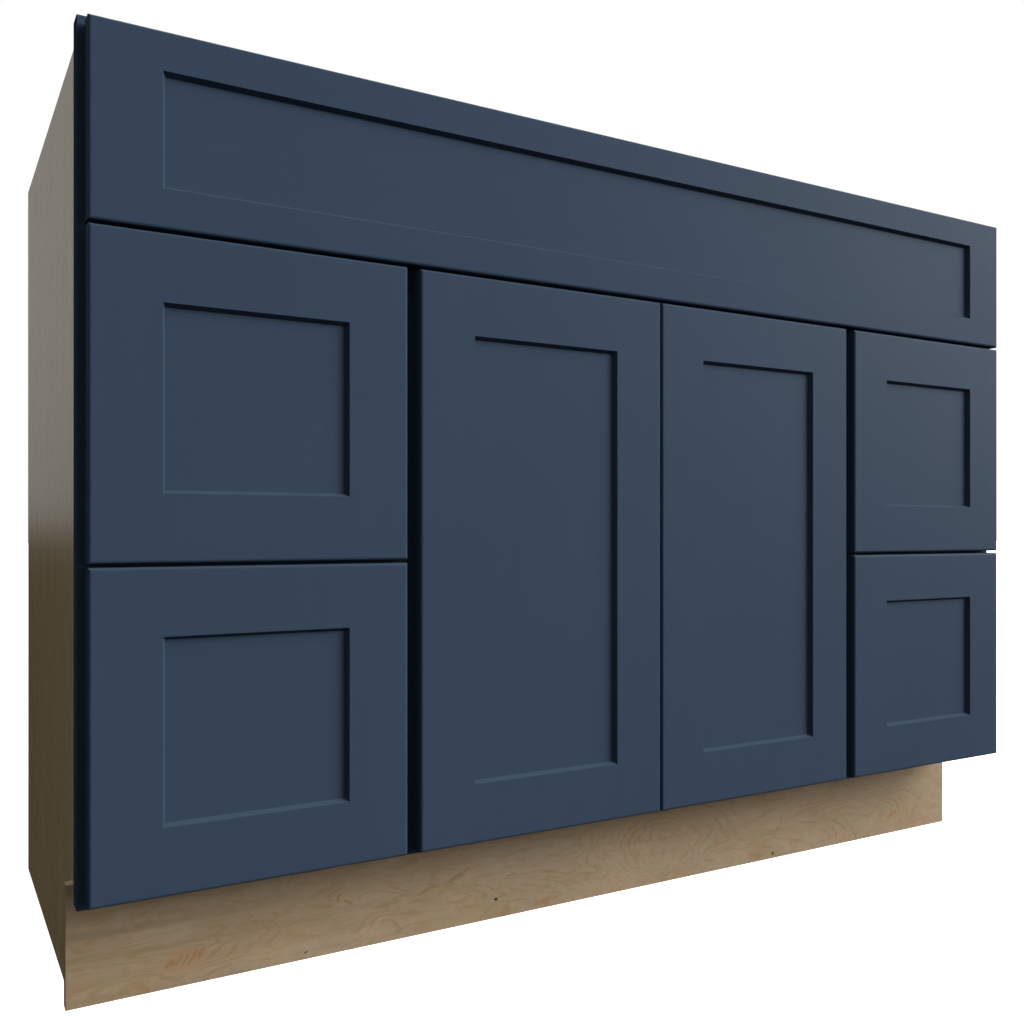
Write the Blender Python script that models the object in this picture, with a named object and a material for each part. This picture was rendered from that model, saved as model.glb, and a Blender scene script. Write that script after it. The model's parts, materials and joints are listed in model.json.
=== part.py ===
"""Bathroom vanity base cabinet: plywood carcase, face frame, full-overlay shaker doors and drawers.

The row frame is +X to the right, +Y towards the wall and +Z up, with the fronts facing -Y.
The origin is on the floor, at the middle of the cabinet's overall width and depth.
"""

import math

import bmesh
import bpy
from mathutils import Matrix, Vector

INCH = 0.0254
MM = 0.001
GAP = 0.3 * MM

# Overall cabinet
CABINET_WIDTH = 48 * INCH
CABINET_HEIGHT = 34.5 * INCH
CARCASE_DEPTH = 20.75 * INCH
FRONT_THICKNESS = 0.75 * INCH
BUMPER_GAP = 2 * MM
TOTAL_DEPTH = FRONT_THICKNESS + BUMPER_GAP + CARCASE_DEPTH

# Depths, each measured back from the outer face of the doors
FACE = -TOTAL_DEPTH / 2
BACK = TOTAL_DEPTH / 2
FRONT_BACK = FACE + FRONT_THICKNESS
FRAME_FRONT = FRONT_BACK + BUMPER_GAP
FRAME_THICKNESS = 0.75 * INCH
FRAME_BACK = FRAME_FRONT + FRAME_THICKNESS
CARCASE_FRONT = FRAME_BACK + GAP

# Face frame
MEMBER = 1.5 * INCH
FRAME_BOTTOM = 4.5 * INCH
FRAME_EASING = 0.6 * MM
MULLION_X = 12 * INCH
MIDDLE_RAIL_Z = 27.4375 * INCH
DRAWER_RAIL_Z = 16.0625 * INCH

# Plywood carcase
PLY = 0.5 * INCH
BACK_PLY = 0.25 * INCH
SIDE_INSET = 0.25 * INCH
FLOOR_TOP = FRAME_BOTTOM + MEMBER
BACK_FACE = BACK - BACK_PLY - GAP
RAIL_THICKNESS = 0.75 * INCH
RAIL_HEIGHT = 3.5 * INCH
BRACE_LEG = 4 * INCH
BRACE_DROP = 1 * MM

# Toe kick
TOE_HEIGHT = FRAME_BOTTOM
TOE_FACE = FACE + 95.4 * MM
TOE_THICKNESS = 0.5 * INCH
TOE_BACK = TOE_FACE + TOE_THICKNESS

# Shaker fronts
REVEAL = 0.25 * INCH
FRONT_GAP = 0.125 * INCH
FRONTS_BOTTOM = FRAME_BOTTOM + REVEAL
FRONTS_TOP = CABINET_HEIGHT - REVEAL
DRAWER_FRONT_WIDTH = 11.46875 * INCH
DRAWER_FRONT_HEIGHT = 11.25 * INCH
DOOR_EDGE_X = 11.75 * INCH
DOOR_GAP = 1.5 * MM
STILE = 2.375 * INCH
FALSE_FRONT_RAIL = 1.375 * INCH
EASING = 3.0 * MM
EASING_STEPS = 6
BEVEL_WIDTH = 3.0 * MM
BEVEL_DEPTH = 5.8 * MM
GROOVE_DEPTH = 9 * MM
GROOVE_HEIGHT = 0.25 * INCH
GROOVE_CLEARANCE = 1.2 * MM

# Drawer boxes
OPENING_WIDTH = CABINET_WIDTH / 2 - MEMBER - MULLION_X - MEMBER / 2
DRAWER_X = MULLION_X + MEMBER / 2 + OPENING_WIDTH / 2
BOX_WIDTH = OPENING_WIDTH - 10 * MM
BOX_DEPTH = 18 * INCH
BOX_HEIGHT = 8 * INCH
BOX_WALL = 0.625 * INCH
BOX_EASING = 1.2 * MM
BOX_LIFT = 15 * MM
BOTTOM_RECESS = 0.5 * INCH
BOX_GROOVE_DEPTH = 8 * MM

# Concealed drawer runners
RUNNER_LENGTH = 450 * MM
RUNNER_WIDTH = 19 * MM
RUNNER_HEIGHT = 11 * MM
RUNNER_STEEL = 1.5 * MM
RUNNER_BELOW_BOX = 1.5 * MM
RUNNER_START = FRAME_FRONT + 3 * MM
RUNNER_INSIDE_WALL = 1 * MM
SOCKET_HEIGHT = 14 * MM
SOCKET_OVERLAP = 12 * MM
SOCKET_DROP = 2 * MM
SOCKET_PAST_INNER_EDGE = 2 * MM
SOCKET_PAST_OUTER_EDGE = 4 * MM

# Concealed cup hinges, measured from the door's hinge edge and outer face
HINGE_FROM_END = 3.5 * INCH
AXIS_FROM_EDGE = 5.5 * MM
AXIS_FROM_FACE = 5.5 * MM
CUP_FROM_EDGE = 22.5 * MM
CUP_RADIUS = 17.5 * MM
CUP_WALL = 1.2 * MM
CUP_BOTTOM = 7.6 * MM
CUP_SEGMENTS = 40
FLANGE_HALF_WIDTH = 19.5 * MM
FLANGE_HALF_HEIGHT = 26 * MM
FLANGE_THICKNESS = 1.1 * MM

# Hinge arms: each block is (from the door's hinge edge, from its outer face, half height, easing)
ARM_PLATE = ((13.0 * MM, 14.6 * MM), (23.0 * MM, 39.5 * MM), 25 * MM, 0.0)
ARM_BODY = ((13.4 * MM, 26.4 * MM), (25.0 * MM, 44.0 * MM), 9 * MM, 1.5 * MM)
ARM_NOSE = ((21.6 * MM, 26.4 * MM), (11.2 * MM, 30.0 * MM), 6 * MM, 1.0 * MM)


def clear_scene():
    for obj in list(bpy.data.objects):
        bpy.data.objects.remove(obj, do_unlink=True)


def material(name, colour, roughness, metallic=0.0):
    made = bpy.data.materials.new(name)
    made.use_nodes = True
    shader = made.node_tree.nodes["Principled BSDF"]
    shader.inputs["Base Color"].default_value = (*colour, 1.0)
    shader.inputs["Roughness"].default_value = roughness
    shader.inputs["Metallic"].default_value = metallic
    return made


def add_object(name, mesh, finish, parent=None):
    obj = bpy.data.objects.new(name, mesh)
    bpy.context.scene.collection.objects.link(obj)
    if finish:
        mesh.materials.append(finish)
    if parent:
        obj.parent = parent
        obj.matrix_parent_inverse = Matrix.Translation(parent.location).inverted()
    return obj


def mesh_from(name, bm):
    bmesh.ops.recalc_face_normals(bm, faces=bm.faces)
    mesh = bpy.data.meshes.new(name)
    bm.to_mesh(mesh)
    bm.free()
    return mesh


def cuboid(name, low, high, finish, parent=None, easing=0.0):
    """A rectangular board between two corners, its origin at its middle, its edges eased if asked."""
    low = Vector(low)
    high = Vector(high)
    bm = bmesh.new()
    bmesh.ops.create_cube(bm, size=1.0)
    bmesh.ops.scale(bm, vec=high - low, verts=bm.verts)
    if easing:
        bmesh.ops.bevel(bm, geom=bm.edges[:], offset=easing, segments=1, affect="EDGES")
    obj = add_object(name, mesh_from(name, bm), finish, parent)
    obj.location = (low + high) / 2
    return obj


def prism(name, outline, place, finish, parent=None):
    """A flat outline of (a, b) points between two levels. place(a, b, level) gives each point in space."""
    bm = bmesh.new()
    rings = [[bm.verts.new(place(a, b, level)) for a, b in outline] for level in (0, 1)]
    count = len(outline)
    bm.faces.new(rings[0])
    bm.faces.new(rings[1])
    for i in range(count):
        j = (i + 1) % count
        bm.faces.new((rings[0][i], rings[0][j], rings[1][j], rings[1][i]))
    return add_object(name, mesh_from(name, bm), finish, parent)


def rectangular_ring(name, profile, place, finish, parent=None):
    """A closed cross-section carried round a rectangle with mitred corners.

    Each profile point is (half size along a, half size along b, level).
    """
    bm = bmesh.new()
    loops = []
    for half_a, half_b, level in profile:
        corners = ((-half_a, -half_b), (half_a, -half_b), (half_a, half_b), (-half_a, half_b))
        loops.append([bm.verts.new(place(a, b, level)) for a, b in corners])
    for i, loop in enumerate(loops):
        following = loops[(i + 1) % len(loops)]
        for j in range(4):
            k = (j + 1) % 4
            bm.faces.new((loop[j], loop[k], following[k], following[j]))
    return add_object(name, mesh_from(name, bm), finish, parent)


def y_cylinder(name, centre, radius, y_low, y_high, finish, parent=None):
    """A round bar along Y."""
    bm = bmesh.new()
    bmesh.ops.create_cone(
        bm,
        cap_ends=True,
        segments=CUP_SEGMENTS,
        radius1=radius,
        radius2=radius,
        depth=y_high - y_low,
        matrix=Matrix.Rotation(math.pi / 2, 4, "X"),
    )
    obj = add_object(name, mesh_from(name, bm), finish, parent)
    obj.location = (centre[0], (y_low + y_high) / 2, centre[1])
    return obj


def boolean(target, tool, operation):
    """Joins the tool to the target, or cuts it away. The tool stays as a hidden guide."""
    modifier = target.modifiers.new(tool.name, "BOOLEAN")
    modifier.operation = operation
    modifier.solver = "EXACT"
    modifier.object = tool
    tool.hide_render = True
    tool.display_type = "WIRE"


def axis_empty(name, location):
    empty = bpy.data.objects.new(name, None)
    empty.location = location
    bpy.context.scene.collection.objects.link(empty)
    return empty


def make_finishes():
    return {
        "paint": material("navy_paint", (0.030, 0.048, 0.082), 0.34),
        "ply": material("maple_plywood", (0.62, 0.50, 0.36), 0.42),
        "toe": material("figured_plywood", (0.52, 0.38, 0.24), 0.45),
        "maple": material("solid_maple", (0.66, 0.53, 0.38), 0.45),
        "zinc": material("zinc_plated_steel", (0.62, 0.64, 0.66), 0.38, 1.0),
        "nickel": material("nickel_plated_steel", (0.66, 0.63, 0.58), 0.28, 1.0),
    }


def make_carcase(finish):
    ply = finish["ply"]
    side_outer = CABINET_WIDTH / 2 - SIDE_INSET
    side_inner = side_outer - PLY
    between = side_inner - GAP
    notch_top = TOE_HEIGHT + GAP
    notch_back = TOE_BACK + GAP

    side_outline = (
        (CARCASE_FRONT, notch_top),
        (notch_back, notch_top),
        (notch_back, 0),
        (BACK, 0),
        (BACK, CABINET_HEIGHT),
        (CARCASE_FRONT, CABINET_HEIGHT),
    )
    rail_low = CABINET_HEIGHT - RAIL_HEIGHT - GAP
    rail_front = BACK_FACE - RAIL_THICKNESS
    partition_outline = (
        (CARCASE_FRONT, FLOOR_TOP + GAP),
        (BACK_FACE, FLOOR_TOP + GAP),
        (BACK_FACE, rail_low),
        (rail_front - GAP, rail_low),
        (rail_front - GAP, CABINET_HEIGHT),
        (CARCASE_FRONT, CABINET_HEIGHT),
    )
    for side, sign in (("left", -1), ("right", 1)):
        prism(
            f"side_panel_{side}",
            side_outline,
            lambda y, z, level, sign=sign: (sign * (side_inner + level * PLY), y, z),
            ply,
        )
        prism(
            f"partition_{side}",
            partition_outline,
            lambda y, z, level, sign=sign: (sign * MULLION_X + (level - 0.5) * PLY, y, z),
            ply,
        )

    cuboid(
        "floor_panel",
        (-between, CARCASE_FRONT, FLOOR_TOP - PLY),
        (between, BACK_FACE, FLOOR_TOP),
        ply,
    )
    cuboid(
        "back_panel",
        (-between, BACK - BACK_PLY, FLOOR_TOP - PLY),
        (between, BACK, CABINET_HEIGHT),
        ply,
    )
    cuboid(
        "hanging_rail",
        (-between, rail_front, CABINET_HEIGHT - RAIL_HEIGHT),
        (between, BACK_FACE, CABINET_HEIGHT),
        ply,
    )
    cuboid(
        "toe_kick_board",
        (-CABINET_WIDTH / 2, TOE_FACE, 0),
        (CABINET_WIDTH / 2, TOE_BACK, TOE_HEIGHT),
        finish["toe"],
    )
    cuboid(
        "toe_kick_support",
        (-between, TOE_BACK + GAP, 0),
        (between, TOE_BACK + GAP + RAIL_THICKNESS, FLOOR_TOP - PLY - GAP),
        ply,
    )

    brace_top = CABINET_HEIGHT - BRACE_DROP
    for side, sign in (("left", -1), ("right", 1)):
        for end, corner_y, towards in (
            ("front", CARCASE_FRONT, 1),
            ("back", rail_front - GAP, -1),
        ):
            prism(
                f"corner_brace_{end}_{side}",
                ((0, 0), (BRACE_LEG, 0), (0, BRACE_LEG)),
                lambda a, b, level, sign=sign, corner_y=corner_y, towards=towards: (
                    sign * (between - a),
                    corner_y + towards * b,
                    brace_top - level * RAIL_THICKNESS,
                ),
                ply,
            )


def make_face_frame(finish):
    outer = CABINET_WIDTH / 2
    inner = outer - MEMBER
    mullion_out = MULLION_X + MEMBER / 2
    middle_low = MIDDLE_RAIL_Z - MEMBER / 2

    def member(name, x_low, x_high, z_low, z_high):
        cuboid(
            name,
            (x_low, FRAME_FRONT, z_low),
            (x_high, FRAME_BACK, z_high),
            finish["paint"],
            easing=FRAME_EASING,
        )

    rail_end = inner - GAP
    member("frame_top_rail", -rail_end, rail_end, CABINET_HEIGHT - MEMBER, CABINET_HEIGHT)
    member("frame_middle_rail", -rail_end, rail_end, middle_low, middle_low + MEMBER)
    member("frame_bottom_rail", -rail_end, rail_end, FRAME_BOTTOM, FLOOR_TOP)
    for side, sign in (("left", -1), ("right", 1)):
        x_low, x_high = sorted((sign * inner, sign * outer))
        member(f"frame_stile_{side}", x_low, x_high, FRAME_BOTTOM, CABINET_HEIGHT)
        x_middle = sign * MULLION_X
        member(
            f"frame_mullion_{side}",
            x_middle - MEMBER / 2,
            x_middle + MEMBER / 2,
            FLOOR_TOP + GAP,
            middle_low - GAP,
        )
        x_low, x_high = sorted((sign * (mullion_out + GAP), sign * rail_end))
        member(
            f"frame_drawer_rail_{side}",
            x_low,
            x_high,
            DRAWER_RAIL_Z - MEMBER / 2,
            DRAWER_RAIL_Z + MEMBER / 2,
        )


def front_profile(width, height, stile, rail):
    """The cross-section of a shaker frame: eased outer edge, bevelled inner edge, groove for the panel."""
    half_w = width / 2
    half_h = height / 2

    def outer(inset, depth):
        return (half_w - inset, half_h - inset, depth)

    def inner(inset, depth):
        return (half_w - stile - inset, half_h - rail - inset, depth)

    points = [outer(0, FRONT_THICKNESS - FRAME_EASING)]
    for i in range(EASING_STEPS + 1):
        angle = math.pi / 2 * i / EASING_STEPS
        points.append(outer(EASING * (1 - math.cos(angle)), EASING * (1 - math.sin(angle))))
    lip = BEVEL_WIDTH
    groove_back = BEVEL_DEPTH + GROOVE_HEIGHT
    points += [
        inner(0, 0),
        inner(lip, BEVEL_DEPTH),
        inner(lip - GROOVE_DEPTH, BEVEL_DEPTH),
        inner(lip - GROOVE_DEPTH, groove_back),
        inner(lip, groove_back),
        inner(lip, FRONT_THICKNESS),
        outer(FRAME_EASING, FRONT_THICKNESS),
    ]
    return points


def make_front(name, x_low, x_high, z_low, z_high, rail, finish, parent=None):
    """A shaker frame and the flat panel that floats in its groove."""
    x_mid = (x_low + x_high) / 2
    z_mid = (z_low + z_high) / 2
    width = x_high - x_low
    height = z_high - z_low
    frame = rectangular_ring(
        f"{name}_frame",
        front_profile(width, height, STILE, rail),
        lambda a, b, depth: (x_mid + a, FACE + depth, z_mid + b),
        finish["paint"],
        parent,
    )
    tongue = GROOVE_DEPTH - GROOVE_CLEARANCE - BEVEL_WIDTH
    half_w = width / 2 - STILE + tongue
    half_h = height / 2 - rail + tongue
    cuboid(
        f"{name}_panel",
        (x_mid - half_w, FACE + BEVEL_DEPTH + GAP, z_mid - half_h),
        (x_mid + half_w, FACE + BEVEL_DEPTH + GROOVE_HEIGHT - GAP, z_mid + half_h),
        finish["paint"],
        parent,
    )
    return frame


def make_drawer_box(name, x_mid, z_low, finish, parent):
    """Four dovetailed walls as one glued frame, and the bottom that slides into its groove."""
    y_mid = FRONT_BACK + GAP + BOX_DEPTH / 2
    half_w = BOX_WIDTH / 2
    half_d = BOX_DEPTH / 2
    groove_top = BOTTOM_RECESS + GROOVE_HEIGHT
    wall_points = (
        (0, BOX_EASING),
        (0, BOX_HEIGHT - BOX_EASING),
        (BOX_EASING, BOX_HEIGHT),
        (BOX_WALL - BOX_EASING, BOX_HEIGHT),
        (BOX_WALL, BOX_HEIGHT - BOX_EASING),
        (BOX_WALL, groove_top),
        (BOX_WALL - BOX_GROOVE_DEPTH, groove_top),
        (BOX_WALL - BOX_GROOVE_DEPTH, BOTTOM_RECESS),
        (BOX_WALL, BOTTOM_RECESS),
        (BOX_WALL, 0),
        (BOX_EASING, 0),
    )
    rectangular_ring(
        f"{name}_box",
        [(half_w - inset, half_d - inset, level) for inset, level in wall_points],
        lambda a, b, level: (x_mid + a, y_mid + b, z_low + level),
        finish["maple"],
        parent,
    )
    reach = BOX_GROOVE_DEPTH - BOX_WALL - GROOVE_CLEARANCE
    cuboid(
        f"{name}_bottom",
        (x_mid - half_w - reach, y_mid - half_d - reach, z_low + BOTTOM_RECESS + GAP),
        (x_mid + half_w + reach, y_mid + half_d + reach, z_low + groove_top - GAP),
        finish["ply"],
        parent,
    )


def make_runner(name, x_mid, side, z_box, finish):
    """The fixed member of a concealed runner: an open channel, a foot to the frame and a rear socket.

    side is -1 for the runner under the box's left wall and 1 for the right one.
    """
    top = z_box - RUNNER_BELOW_BOX
    low = top - RUNNER_HEIGHT
    steel = RUNNER_STEEL
    width = RUNNER_WIDTH
    channel_out = BOX_WIDTH / 2 - BOX_WALL - RUNNER_INSIDE_WALL
    foot_out = OPENING_WIDTH / 2 - GAP - channel_out
    section = (
        (foot_out, 0),
        (foot_out, steel),
        (0, steel),
        (0, RUNNER_HEIGHT),
        (-steel, RUNNER_HEIGHT),
        (-steel, steel),
        (steel - width, steel),
        (steel - width, RUNNER_HEIGHT),
        (-width, RUNNER_HEIGHT),
        (-width, 0),
    )
    runner = prism(
        name,
        section,
        lambda a, b, level: (
            x_mid + side * (channel_out + a),
            RUNNER_START + level * RUNNER_LENGTH,
            low + b,
        ),
        finish["zinc"],
    )
    socket_in = x_mid + side * (channel_out - width - SOCKET_PAST_INNER_EDGE)
    socket_out = x_mid + side * (channel_out + SOCKET_PAST_OUTER_EDGE)
    x_low, x_high = sorted((socket_in, socket_out))
    socket_low = low - SOCKET_DROP
    socket = cuboid(
        f"{name}_socket_guide",
        (x_low, RUNNER_START + RUNNER_LENGTH - SOCKET_OVERLAP, socket_low),
        (x_high, BACK_FACE, socket_low + SOCKET_HEIGHT),
        None,
    )
    boolean(runner, socket, "UNION")


def make_drawer(name, side, z_low, opening_bottom, finish):
    """One drawer: its shaker front, its box and its two runners. side is -1 for left, 1 for right."""
    x_mid = side * DRAWER_X
    outer_edge = CABINET_WIDTH / 2 - REVEAL
    x_edges = sorted((side * outer_edge, side * (outer_edge - DRAWER_FRONT_WIDTH)))
    z_box = opening_bottom + BOX_LIFT
    axis = axis_empty(f"{name}_axis", (x_mid, FRONT_BACK, z_box))
    make_front(f"{name}_front", *x_edges, z_low, z_low + DRAWER_FRONT_HEIGHT, STILE, finish, axis)
    make_drawer_box(name, x_mid, z_box, finish, axis)
    for runner_side, sign in (("left", -1), ("right", 1)):
        make_runner(f"{name}_runner_{runner_side}", x_mid, sign, z_box, finish)


def make_hinge(name, door_frame, edge_x, inward, z, finish, parent):
    """A cup pressed into the door and an arm on the mullion. inward is the way from the hinge edge to the cup."""

    def arm_block(block_name, block, block_finish=None):
        from_edge, from_face, half_height, easing = block
        x_low, x_high = sorted(edge_x + inward * reach for reach in from_edge)
        y_low, y_high = (FACE + depth for depth in from_face)
        low = (x_low, y_low, z - half_height)
        high = (x_high, y_high, z + half_height)
        return cuboid(block_name, low, high, block_finish, easing=easing)

    cup_x = edge_x + inward * CUP_FROM_EDGE
    centre = (cup_x, z)
    bore = y_cylinder(
        f"{name}_bore_guide",
        centre,
        CUP_RADIUS + GAP,
        FACE + CUP_BOTTOM - GAP,
        FRAME_FRONT,
        None,
        parent,
    )
    boolean(door_frame, bore, "DIFFERENCE")

    flange_front = FRONT_BACK + GAP
    flange_back = flange_front + FLANGE_THICKNESS
    cup = cuboid(
        f"{name}_cup",
        (cup_x - FLANGE_HALF_WIDTH, flange_front, z - FLANGE_HALF_HEIGHT),
        (cup_x + FLANGE_HALF_WIDTH, flange_back, z + FLANGE_HALF_HEIGHT),
        finish["nickel"],
        parent,
    )
    shell = y_cylinder(
        f"{name}_shell_guide",
        centre,
        CUP_RADIUS,
        FACE + CUP_BOTTOM,
        flange_back - FLANGE_THICKNESS / 2,
        None,
        parent,
    )
    boolean(cup, shell, "UNION")
    hollow = y_cylinder(
        f"{name}_hollow_guide",
        centre,
        CUP_RADIUS - CUP_WALL,
        FACE + CUP_BOTTOM + CUP_WALL,
        flange_back + BUMPER_GAP,
        None,
        parent,
    )
    boolean(cup, hollow, "DIFFERENCE")

    arm = arm_block(f"{name}_arm", ARM_PLATE, finish["nickel"])
    boolean(arm, arm_block(f"{name}_body_guide", ARM_BODY), "UNION")
    boolean(arm, arm_block(f"{name}_nose_guide", ARM_NOSE), "UNION")


def make_door(name, side, finish):
    """A shaker door on two concealed hinges. side is -1 for the left door, hinged on its left edge."""
    edge_x = side * DOOR_EDGE_X
    x_edges = sorted((edge_x, side * DOOR_GAP / 2))
    z_low = FRONTS_BOTTOM
    z_high = FRONTS_BOTTOM + 2 * DRAWER_FRONT_HEIGHT + FRONT_GAP
    axis_x = edge_x - side * AXIS_FROM_EDGE
    axis = axis_empty(f"{name}_axis", (axis_x, FACE + AXIS_FROM_FACE, z_low))
    frame = make_front(name, *x_edges, z_low, z_high, STILE, finish, axis)
    for end, z in (("lower", z_low + HINGE_FROM_END), ("upper", z_high - HINGE_FROM_END)):
        make_hinge(f"{name}_{end}_hinge", frame, edge_x, -side, z, finish, axis)


def main():
    clear_scene()
    finish = make_finishes()
    make_carcase(finish)
    make_face_frame(finish)
    half_fronts = CABINET_WIDTH / 2 - REVEAL
    upper_low = FRONTS_BOTTOM + DRAWER_FRONT_HEIGHT + FRONT_GAP
    false_low = upper_low + DRAWER_FRONT_HEIGHT + FRONT_GAP
    make_front("false_front", -half_fronts, half_fronts, false_low, FRONTS_TOP, FALSE_FRONT_RAIL, finish)
    for side_name, side in (("left", -1), ("right", 1)):
        make_drawer(f"lower_{side_name}_drawer", side, FRONTS_BOTTOM, FLOOR_TOP, finish)
        make_drawer(f"upper_{side_name}_drawer", side, upper_low, DRAWER_RAIL_Z + MEMBER / 2, finish)
        make_door(f"{side_name}_door", side, finish)
    bpy.context.view_layer.update()


main()
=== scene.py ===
"""Looks of the bathroom vanity cabinet: finishes, small hardware, studio and camera."""

import json
import math

import bmesh
import bpy
from mathutils import Matrix, Vector

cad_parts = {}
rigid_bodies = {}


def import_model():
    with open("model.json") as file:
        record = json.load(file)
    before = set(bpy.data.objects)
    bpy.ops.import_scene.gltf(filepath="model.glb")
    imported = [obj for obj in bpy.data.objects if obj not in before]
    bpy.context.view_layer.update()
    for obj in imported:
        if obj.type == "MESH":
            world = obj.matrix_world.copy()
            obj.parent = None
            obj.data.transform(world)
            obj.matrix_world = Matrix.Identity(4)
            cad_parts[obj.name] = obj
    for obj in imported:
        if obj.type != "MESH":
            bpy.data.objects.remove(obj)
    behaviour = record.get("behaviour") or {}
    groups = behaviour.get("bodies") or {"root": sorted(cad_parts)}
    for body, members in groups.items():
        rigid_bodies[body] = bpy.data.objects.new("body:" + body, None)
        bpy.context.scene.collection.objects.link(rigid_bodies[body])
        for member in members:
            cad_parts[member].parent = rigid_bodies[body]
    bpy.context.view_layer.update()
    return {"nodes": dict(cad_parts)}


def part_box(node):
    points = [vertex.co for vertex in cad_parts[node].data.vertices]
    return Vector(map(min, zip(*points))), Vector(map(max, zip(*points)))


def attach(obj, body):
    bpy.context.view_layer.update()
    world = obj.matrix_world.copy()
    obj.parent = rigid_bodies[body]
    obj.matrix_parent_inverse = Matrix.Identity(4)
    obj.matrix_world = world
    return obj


for old in list(bpy.data.objects):
    bpy.data.objects.remove(old, do_unlink=True)

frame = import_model()
nodes = frame["nodes"]

MM = 0.001
INCH = 0.0254
X, Y, Z = 0, 1, 2

# Half size of a spot along an axis that it ignores
ENDLESS = 1000.0

# The outer and the back face of the doors and drawer fronts, read from the CAD
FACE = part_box("left_door_frame")[0].y
FRONT_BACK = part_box("left_door_frame")[1].y

# Dovetails of the drawer boxes
BOX_WALL = 0.625 * INCH
DOVETAILS = 9
PIN_HALF = 2.5 * MM
PIN_FLARE = 0.16
GLUE_HALF = 0.25 * MM

# Screw heads: (radius, thickness)
CUP_SCREW = (3.8 * MM, 1.3 * MM)
ARM_SCREW = (4.0 * MM, 1.6 * MM)
FRONT_SCREW = (4.2 * MM, 1.4 * MM)
BRACE_SCREW = (4.0 * MM, 0.9 * MM)
HEAD_RINGS = 12
HEAD_SEGMENTS = 32

# Turned outlines: (radius, level) from the crown down to the foot
RIVET = ((0.8 * MM, 0.7 * MM), (1.7 * MM, 0.5 * MM), (2.1 * MM, 0.2 * MM), (2.2 * MM, 0.0))
BUMPER = ((1.5 * MM, 1.7 * MM), (3.2 * MM, 1.5 * MM), (3.9 * MM, 0.8 * MM), (4.0 * MM, 0.0))

# Hinges: reach from the door's hinge edge, depth from its outer face, level from the hinge's middle height
LINK_REACH = (13 * MM, 30 * MM)
LINK_DEPTH = (10.5 * MM, 17.5 * MM)
LINK_LEVEL = 7 * MM
LINK_THICKNESS = 1.4 * MM
LINK_EASING = 0.4 * MM
RIVET_FROM_LINK_END = 3 * MM
CUP_SCREW_LEVEL = 21.6 * MM
ARM_PLATE_REACH = 14.6 * MM
ARM_SCREW_DEPTH = 31.25 * MM
ARM_SCREW_LEVEL = 18 * MM

# Bumpers, from the edges of a door or a drawer front
BUMPER_INSET = 12 * MM
BUMPER_FROM_INNER_EDGE = 6 * MM
BUMPER_FROM_END = 14 * MM

# The drawer's own runner members and catches, and its front's screws; levels are from the box's underside
GAP = 0.3 * MM
MEMBER_WIDTH = 22 * MM
MEMBER_STEEL = 1.2 * MM
MEMBER_TOP = 9.3 * MM
MEMBER_FOOT = -0.5 * MM
CATCH_WIDTH = 14 * MM
CATCH_LENGTH = 48 * MM
CATCH_LEVELS = (2 * MM, 11.5 * MM)
CATCH_EASING = 1 * MM
LEVER_REACH = 9 * MM
LEVER_ENDS = (4 * MM, 22 * MM)
LEVER_LEVELS = (4 * MM, 7 * MM)
FRONT_SCREW_FROM_MIDDLE = 60 * MM
FRONT_SCREW_LEVELS = (60 * MM, 150 * MM)

# Brace screws, from the brace's corner, and the staples that hold the back panel to the boards it closes
BRACE_SCREW_NEAR = 14 * MM
BRACE_SCREW_FAR = 58 * MM
STAPLE_STEP = 150 * MM
STAPLE_HALF = 5.5 * MM
STAPLE_WIRE = 0.6 * MM
STAPLE_CROWN = 0.5 * MM
STAPLE_EASING = 0.2 * MM
STAPLES_UP_A_PARTITION = 4
LOWEST_STAPLE = 90 * MM
HALF_PLY = 0.25 * INCH
HALF_RAIL = 45 * MM

# Marks in the wood. A fleck of the left side panel: (middle, half size).
SIDE_FLECKS = (
    ((0, 46 * MM, 100 * MM), (None, 1.2 * MM, 2.2 * MM)),
    ((0, -78 * MM, 27 * MM), (None, 0.8 * MM, 7 * MM)),
)

# Where the toe board's growth rings close: (share of length, of height, half width, half height, swell)
RING_CENTRES = (
    (0.087, 0.22, 52 * MM, 30 * MM, 0.16),
    (0.907, 0.23, 45 * MM, 26 * MM, 0.14),
    (0.575, 0.40, 95 * MM, 52 * MM, 0.36),
    (0.235, 0.30, 60 * MM, 34 * MM, -0.15),
)

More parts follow.
